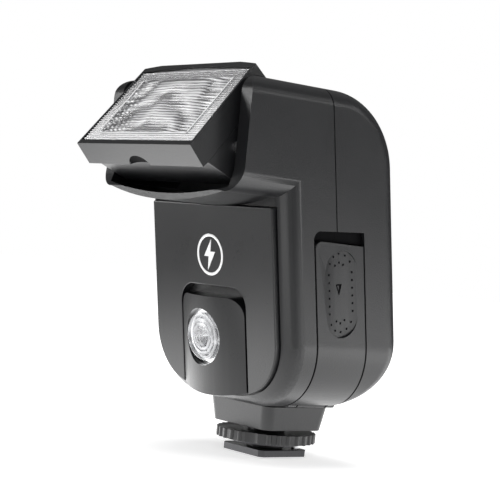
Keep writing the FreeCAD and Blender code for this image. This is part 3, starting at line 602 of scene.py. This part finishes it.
def makeBezel(sizes):  # the lamp's frame, with a thumb notch scooped from its lower edge and painted black inside as shade
    piece = copyOf("head_bezel", "lampFrame", tilted)
    low, high = extent("head_bezel", tilted)
    scoopAt = Vector((sizes["notchCentre"], high.y, low.z))
    scoopSize = (sizes["notchWidth"] / 2, sizes["notchDepth"], sizes["notchHeight"])
    deselectAll()
    bpy.ops.mesh.primitive_uv_sphere_add(segments=48, ring_count=24, radius=1, location=scoopAt)
    scoop = bpy.context.object
    scoop.scale = scoopSize
    applyPlace()
    carve(piece, scoop)
    softenEdges(piece, sizes["edge"])
    hollow = []
    for face in piece.data.polygons:
        offset = [(face.center[i] - scoopAt[i]) / scoopSize[i] for i in range(3)]
        reach = math.sqrt(sum(share ** 2 for share in offset))
        if sizes["hollowNear"] < reach < sizes["hollowFar"] and face.area < sizes["hollowFace"]:
            hollow.append(face.index)
    settle(piece, tilted)
    dress(piece, "headSatin", "head_bezel", "head_bezel")
    paintShade(piece, hollow)


makeBezel(bezelSizes)

windowSizes = {"sideBand": 5.4, "topBand": 4.9, "bottomBand": 3.0, "line": 0.5, "lineRise": 0.05,
               "finePitch": 1.15, "edgePitch": 0.85, "sidePitch": 0.85, "ribDepth": 0.32,
               "sheet": 0.25, "rim": 0.4, "topSide": 1.6, "topRim": 1.4, "plateFace": 0.5,
               "plateGap": 0.3}


def ribSheet(name, low, high, pitch, depth, thickness):  # a closed sheet of level ribs
    rows = 2 * max(2, round((high.z - low.z) / pitch))
    piece = startSheet(name, low, high, 2, rows)
    step = (high.z - low.z) / rows
    pick(piece, "VERT", lambda p: round((p.z - low.z) / step) % 2 == 1)
    bpy.ops.transform.translate(value=(0, -depth, 0))
    leaveEdit()
    applyModifier(piece, "SOLIDIFY", {"thickness": thickness, "offset": -1})
    return piece


def makeWindow(sizes):  # five ribbed fields and their border lines in front of a plate
    low, high = extent("fresnel_lens", tilted)
    front = low.y + sizes["ribDepth"]
    inner = Vector((low.x + sizes["sideBand"], front, low.z + sizes["bottomBand"]))
    outer = Vector((high.x - sizes["sideBand"], front, high.z - sizes["topBand"]))
    left, bottom, right, top = inner.x, inner.z, outer.x, outer.z
    rim, topSide, topEnd = sizes["rim"], sizes["topSide"], high.z - sizes["topRim"]
    fields = [  # name, left, bottom, right, top and rib pitch
        ("field", left, bottom, right, top, sizes["finePitch"]),
        ("leftBand", low.x + rim, bottom, left, top, sizes["sidePitch"]),
        ("rightBand", right, bottom, high.x - rim, top, sizes["sidePitch"]),
        ("lowBand", low.x + rim, low.z + rim, high.x - rim, bottom, sizes["edgePitch"]),
        ("topBand", low.x + topSide, top, high.x - topSide, topEnd, sizes["edgePitch"])]
    sheets = []
    for name, x1, z1, x2, z2, pitch in fields:
        sheets.append(ribSheet(name, Vector((x1, front, z1)), Vector((x2, front, z2)), pitch,
                               sizes["ribDepth"], sizes["sheet"]))
    half, proud = sizes["line"] / 2, low.y - sizes["lineRise"]
    for x in (left, right):
        sheets.append(startBlock("line", (x - half, proud, bottom), (x + half, front, top)))
    for z in (bottom, top):
        sheets.append(startBlock("line", (left, proud, z - half), (right, front, z + half)))
    plate = copyOf("fresnel_lens", "plate", tilted)
    pick(plate, "VERT", lambda p: p.y < low.y + sizes["plateFace"])
    bpy.ops.transform.translate(value=(0, sizes["ribDepth"] + sizes["plateGap"], 0))
    leaveEdit()
    piece = joinPieces("lampWindow", [plate] + sheets)
    settle(piece, tilted)
    dress(piece, "windowClear", "fresnel_lens", "fresnel_lens")


makeWindow(windowSizes)

troughSizes = {"wallThickness": 0.5, "facets": 24}


def makeTrough(sizes):  # a polished half-round trough, open to the front, with end plates
    low, high = extent("reflector", tilted)
    middle = (low.z + high.z) / 2
    deselectAll()
    bpy.ops.mesh.primitive_cylinder_add(vertices=sizes["facets"] * 2, radius=1,
                                        depth=high.x - low.x, location=(0, low.y, middle),
                                        rotation=(0, math.pi / 2, 0))
    piece = bpy.context.object
    piece.scale = ((high.z - low.z) / 2, high.y - low.y, 1)
    applyPlace()
    pick(piece, "FACE", lambda centre, normal: True)
    bpy.ops.mesh.bisect(plane_co=(0, low.y, 0), plane_no=(0, -1, 0), clear_outer=True)
    leaveEdit()
    applyModifier(piece, "SOLIDIFY", {"thickness": sizes["wallThickness"], "offset": -1})
    smooth(piece)
    piece.name = "lampTrough"
    settle(piece, tilted)
    dress(piece, "mirrorMetal", "reflector", "reflector")


makeTrough(troughSizes)
print("head made")

domeSizes = {"blank": 1.5, "sides": 96, "edge": 0.06, "edgeAngle": 20,
             "steps": [(0.5, 0.15), (0.25, -0.35), (0.9, 0.45), (0.2, -0.3), (0.9, 0.35),
                       (0.2, -0.3), (1.0, 0.3), (0.9, 0.12), (0.8, 0.05)]}  # width, rise


def makeDome(sizes):  # a clear lens with stepped rings
    low, high = extent("sensor_lens", leaning)
    centre = (low + high) / 2
    radius = (high.x - low.x) / 2
    piece = startRod("sensorDome", radius, (centre.x, high.y, centre.z), (0, -1, 0), sizes["blank"],
                     sizes["sides"])
    pick(piece, "FACE", lambda middle, normal: normal.y < -0.9)
    for width, rise in sizes["steps"]:
        bpy.ops.mesh.inset(thickness=width, depth=rise)
    leaveEdit()
    softenEdges(piece, sizes["edge"], angle=sizes["edgeAngle"])
    settle(piece, leaning)
    dress(piece, "domeClear", "sensor_lens", "sensor_lens")


makeDome(domeSizes)
print("sensor made")

doorSizes = {"edge": 0.3, "centreY": 3.3, "centreZ": 49.9, "dishFloor": 31.6, "dishRadius": 18.5,
             "dotRadius": 0.34, "dotRise": 0.2, "dotRoot": 0.12, "dotPitch": 2.18, "dots": 6,
             "columnHalf": 4.3, "arcs": [(1, 5), (0.5, 3)], "arcLift": 0.6, "arcStretch": 1.15,
             "markY": 3.0, "markZ": 50.9, "markWide": 2.0, "markTall": 3.0, "markLine": 0.35,
             "markRise": 0.22, "markRoot": 0.1, "markEdge": 0.04}


def makeDoor(sizes):  # the sliding cover, with painted shade: black bands at its front and rear edges, where its gaps are
    piece = copyOf("battery_door", "cellDoor", leaning)
    low, high = extent("battery_door", leaning)
    front, rear = low.y + grooveSizes["doorEdge"], high.y - grooveSizes["doorEdge"]
    splitAt(piece, front)
    splitAt(piece, rear)
    softenEdges(piece, sizes["edge"])
    dark = [face.index for face in piece.data.polygons if not front < face.center.y < rear]
    settle(piece, leaning)
    dress(piece, "caseSatin", "battery_door", "battery_door")
    paintShade(piece, dark)


def dishSurface(y, sizes):  # the thumb dish's depth at y
    radius = sizes["dishRadius"]
    return sizes["dishFloor"] + radius - math.sqrt(radius ** 2 - (y - sizes["centreY"]) ** 2)


def makeDoorDots(sizes):  # raised grip dots round the thumb dish, painted black as the shade of grip pits
    places = []
    half = (sizes["dots"] - 1) / 2
    for side in (-1, 1):
        for i in range(sizes["dots"]):
            places.append((sizes["centreY"] + side * sizes["columnHalf"],
                           sizes["centreZ"] + (i - half) * sizes["dotPitch"]))
    for end in (-1, 1):
        arcZ = sizes["centreZ"] + end * half * sizes["dotPitch"]
        for share, count in sizes["arcs"]:
            radius = sizes["columnHalf"] * share
            for i in range(count):
                angle = math.pi * (i + 1) / (count + 1)
                reach = sizes["arcLift"] + radius * sizes["arcStretch"] * math.sin(angle)
                places.append((sizes["centreY"] + radius * math.cos(angle), arcZ + end * reach))
    dots = []
    for y, z in places:
        deselectAll()
        bpy.ops.mesh.primitive_uv_sphere_add(segments=10, ring_count=6, radius=sizes["dotRadius"],
                                             location=(dishSurface(y, sizes), y, z))
        dot = bpy.context.object
        dot.scale = (sizes["dotRise"] / sizes["dotRadius"], 1, 1)
        applyPlace()
        pick(dot, "FACE", lambda centre, normal: True)
        root = dishSurface(y, sizes) - sizes["dotRoot"]
        bpy.ops.mesh.bisect(plane_co=(root, 0, 0), plane_no=(-1, 0, 0), clear_outer=True,
                            use_fill=True)
        leaveEdit()
        dots.append(dot)
    piece = joinPieces("doorDots", dots)
    smooth(piece, 50)
    settle(piece, leaning)
    dress(piece, "paintedShadeBlack", "battery_door")
    return len(places)


def makeDoorMark(sizes):  # a small raised arrowhead that points the way the door slides, painted black as the shade of its relief
    root, wide, tall = sizes["markRoot"], sizes["markWide"] / 2, sizes["markTall"] / 2
    place = Vector((dishSurface(sizes["markY"], sizes) - root, sizes["markY"], sizes["markZ"]))
    piece = startRod("doorMark", 1, place, (1, 0, 0), sizes["markRise"] + root, 3)
    corners = [(-wide, tall), (0, -tall), (wide, tall)]
    for end in (True, False):
        ring = [v for v in piece.data.vertices if (v.co.x > place.x + root) == end]
        ring.sort(key=lambda v: math.atan2(v.co.z - place.z, v.co.y - place.y))
        for vert, (y, z) in zip(ring, sorted(corners, key=lambda c: math.atan2(c[1], c[0]))):
            vert.co = (vert.co.x, place.y + y, place.z + z)
    pick(piece, "FACE", lambda centre, normal: normal.x > 0.9)
    bpy.ops.mesh.inset(thickness=sizes["markLine"], depth=0)
    bpy.ops.transform.translate(value=(-sizes["markRise"], 0, 0))
    leaveEdit()
    softenEdges(piece, sizes["markEdge"])
    settle(piece, leaning)
    dress(piece, "paintedShadeBlack", "battery_door")


makeDoor(doorSizes)
print("door made with", makeDoorDots(doorSizes), "grip dots")
makeDoorMark(doorSizes)

signSizes = {"centreX": -0.5, "centreZ": 60.5, "ring": 5.6, "line": 0.42, "rise": 0.12,
             "boltDepth": 0.18,
             "bolt": [(0.9, 4.4), (-2.5, -0.5), (-0.4, -0.5), (-0.9, -4.4), (2.5, 0.9), (0.4, 0.9)]}


def makeSign(sizes):  # a plain ringed bolt, the usual sign for a flash
    face = extent("front_panel", leaning)[0].y
    centre = Vector((sizes["centreX"], face, sizes["centreZ"]))
    deselectAll()
    bpy.ops.mesh.primitive_torus_add(major_segments=96, minor_segments=10,
                                     major_radius=sizes["ring"], minor_radius=sizes["line"],
                                     location=centre, rotation=(math.pi / 2, 0, 0))
    ring = bpy.context.object
    applyPlace()
    pick(ring, "VERT", lambda p: True)
    bpy.ops.transform.resize(value=(1, sizes["rise"] / sizes["line"], 1), center_override=centre)
    leaveEdit()
    deselectAll()
    bpy.ops.mesh.primitive_circle_add(vertices=len(sizes["bolt"]), fill_type="NGON", radius=1)
    bolt = bpy.context.object
    for vert, (x, z) in zip(bolt.data.vertices, sizes["bolt"]):
        vert.co = (centre.x + x, face - sizes["rise"], centre.z + z)
    applyModifier(bolt, "SOLIDIFY", {"thickness": sizes["boltDepth"], "offset": 0})
    piece = joinPieces("flashSign", [ring, bolt])
    edit(piece)
    bpy.ops.mesh.select_all(action="SELECT")
    bpy.ops.mesh.normals_make_consistent(inside=False)
    leaveEdit()
    smooth(piece)
    settle(piece, leaning)
    dress(piece, "markWhite", "front_panel")


makeSign(signSizes)
print("sign made")

chartSizes = {"margin": 1.6, "columns": 5, "rows": 6, "line": 0.18, "rise": 0.06, "root": 0.02,
              "digit": 2.3, "spot": 0.55, "spotSides": 16,
              "apertures": ["2.8", "4", "5.6", "8", "11"],
              "distances": ["1", "1.4", "2", "2.8", "4", "5.6"]}


def label(text, size, place, rise):  # a generic number, standing on a surface that faces +Y
    deselectAll()
    bpy.ops.object.text_add(location=place, rotation=(math.pi / 2, 0, math.pi))
    piece = bpy.context.object
    piece.data.body = text
    piece.data.size = size
    piece.data.align_x = "CENTER"
    piece.data.align_y = "CENTER"
    piece.data.extrude = rise
    piece.data.resolution_u = 3
    bpy.ops.object.convert(target="MESH")
    piece = bpy.context.object
    applyPlace()
    return piece


def makeChart(sizes):  # a ruled exposure table with plain numbers
    low, high = extent("exposure_chart", leaning)
    face = high.y
    left, right = low.x + sizes["margin"], high.x - sizes["margin"]
    bottom, top = low.z + sizes["margin"], high.z - sizes["margin"]
    wide = (right - left) / (sizes["columns"] + 1)
    tall = (top - bottom) / (sizes["rows"] + 1)
    half, rise, root = sizes["line"] / 2, sizes["rise"], face - sizes["root"]
    marks = []
    for i in range(sizes["rows"] + 2):
        z = bottom + i * tall
        marks.append(startBlock("rule", (left, root, z - half), (right, face + rise, z + half)))
    for i in range(sizes["columns"] + 2):
        x = left + i * wide
        marks.append(startBlock("rule", (x - half, root, bottom), (x + half, face + rise, top)))
    for i, text in enumerate(sizes["apertures"]):
        place = (right - (i + 1.5) * wide, face, top - tall / 2)
        marks.append(label(text, sizes["digit"], place, rise))
    for j, text in enumerate(sizes["distances"]):
        place = (right - wide / 2, face, top - (j + 1.5) * tall)
        marks.append(label(text, sizes["digit"], place, rise))
    for i in range(sizes["columns"]):
        for j in range(sizes["rows"]):
            if (i + j) % 2 == 0:
                x, z = right - (i + 1.5) * wide, top - (j + 1.5) * tall
                marks.append(startRod("spot", sizes["spot"], (x, root, z), (0, 1, 0),
                                      rise + sizes["root"], sizes["spotSides"]))
    piece = joinPieces("chartMarks", marks)
    settle(piece, leaning)
    dress(piece, "markWhite", "exposure_chart")


keySizes = {"edge": 0.35, "dishEdge": 0.9, "dishDepth": 0.35, "dishSlope": 0.3, "flange": 0.9,
            "flangeThick": 0.9, "sides": 64}


def makeTestKey(sizes):  # a round key with a shallow finger dish and a flange behind the shell
    low, high = extent("test_button", leaning)
    centre = (low + high) / 2
    radius = (high.x - low.x) / 2 - sizes["flange"]
    piece = startRod("testKey", radius, (centre.x, low.y, centre.z), (0, 1, 0), high.y - low.y,
                     sizes["sides"])
    pick(piece, "FACE", lambda middle, normal: normal.y > 0.9)
    bpy.ops.mesh.inset(thickness=sizes["dishEdge"], depth=0)
    bpy.ops.mesh.inset(thickness=radius * sizes["dishSlope"], depth=-sizes["dishDepth"])
    leaveEdit()
    flange = startRod("flange", radius + sizes["flange"], (centre.x, low.y, centre.z), (0, 1, 0),
                      sizes["flangeThick"], sizes["sides"])
    piece = joinPieces("testKey", [piece, flange])
    softenEdges(piece, sizes["edge"])
    settle(piece, leaning)
    dress(piece, "knobGrey", "test_button", "test_button")


makeChart(chartSizes)
makeTestKey(keySizes)
print("rear controls made")


roomLook = {"floorColour": (0.92, 0.92, 0.92), "floorShade": (0.12, 0.12, 0.12), "floorRough": 0.8,
            "floorRadius": 2.5, "floorGlow": 0.6, "paleFrom": 0.10, "paleTo": 0.60,
            "nearGlow": 1.7, "farGlow": 0.12, "glowFrom": 0.03, "glowTo": 0.26,
            "spots": [((-0.11, -0.02, 0), 0.03, 0.16, 2.2), ((0.12, -0.30, 0), 0.05, 0.22, 3.5),
                      ((0.32, 0.26, 0), 0.12, 0.40, 5.0)],  # centre, radii, strength
            "horizon": 0.08, "zenith": 0.30, "aim": (0, 0, 0.06),
            "lamps": {"top": ((0.05, -0.10, 0.80), 0.55, 5.0),  # place, size and watts
                      "frontLeft": ((-0.68, -0.62, 0.10), 0.36, 2.6),
                      "nearCamera": ((0.75, -0.55, 0.45), 0.35, 2.2),
                      "behindRight": ((0.60, 0.60, 0.45), 0.25, 0.8)}}


def fade(tree, value, start, end, first, last, kind="SMOOTHSTEP"):  # from first to last
    return put(tree, "MapRange", {"interpolation_type": kind},
               {"Value": value, "From Min": start, "From Max": end, "To Min": first,
                "To Max": last})


def makeFloor(look):  # white to the eye, and bright only near the object in its reflections
    deselectAll()
    bpy.ops.mesh.primitive_circle_add(vertices=96, radius=look["floorRadius"], fill_type="NGON",
                                      location=(0, 0, cadBox[0].z))
    floor = bpy.context.object
    floor.name = "floor"
    material, tree = newMaterial("paleFloor")
    place = put(tree, "TexCoord", out="Object")
    distance = put(tree, "VectorMath", {"operation": "LENGTH"}, {0: place}, out="Value")
    mirrored = fade(tree, distance, look["glowFrom"], look["glowTo"], look["nearGlow"],
                    look["farGlow"])
    pale = fade(tree, distance, look["paleFrom"], look["paleTo"], look["floorGlow"], 1.0, "LINEAR")
    for centre, inner, outer, strength in look["spots"]:
        reach = put(tree, "VectorMath", {"operation": "DISTANCE"}, {0: place, 1: centre},
                    out="Value")
        mirrored = mirrored + fade(tree, reach, inner, outer, strength, 0.0)
    seen = put(tree, "LightPath", out="Is Camera Ray")
    glow = mirrored * (1 - seen) + pale * seen
    colour = blendColours(tree, seen, look["floorShade"], look["floorColour"])
    shader = put(tree, "BsdfPrincipled", {}, {"Base Color": colour, "Roughness": look["floorRough"],
                                              "Emission Color": (1.0, 1.0, 1.0),
                                              "Emission Strength": glow})
    finishMaterial(tree, shader)
    floor.data.materials.append(material)


def makeRoom(look):  # a dim sky that looks white, and four soft lamps
    world = bpy.data.worlds.new("softRoom")
    world.use_nodes = True
    tree = world.node_tree
    tree.nodes.clear()
    place = put(tree, "TexCoord", out="Generated")
    height = put(tree, "SeparateXYZ", {}, {0: place}, out="Z")
    level = fade(tree, height, 0.0, 1.0, look["horizon"], look["zenith"], "LINEAR")
    seen = put(tree, "LightPath", out="Is Camera Ray")
    strength = level * (1 - seen) + seen
    shade = put(tree, "Background", {}, {"Color": (1.0, 1.0, 1.0), "Strength": strength})
    out = tree.nodes.new("ShaderNodeOutputWorld")
    tree.links.new(shade.socket, out.inputs["Surface"])
    bpy.context.scene.world = world
    for name, (place, size, power) in look["lamps"].items():
        bpy.ops.object.light_add(type="AREA", location=place)
        lamp = bpy.context.object
        lamp.name = name
        lamp.data.size = size
        lamp.data.energy = power
        aim = Vector(look["aim"]) - Vector(place)
        lamp.rotation_euler = aim.to_track_quat("-Z", "Y").to_euler()
    bpy.context.scene.view_settings.view_transform = "Standard"


makeFloor(roomLook)
makeRoom(roomLook)
print("stage set")
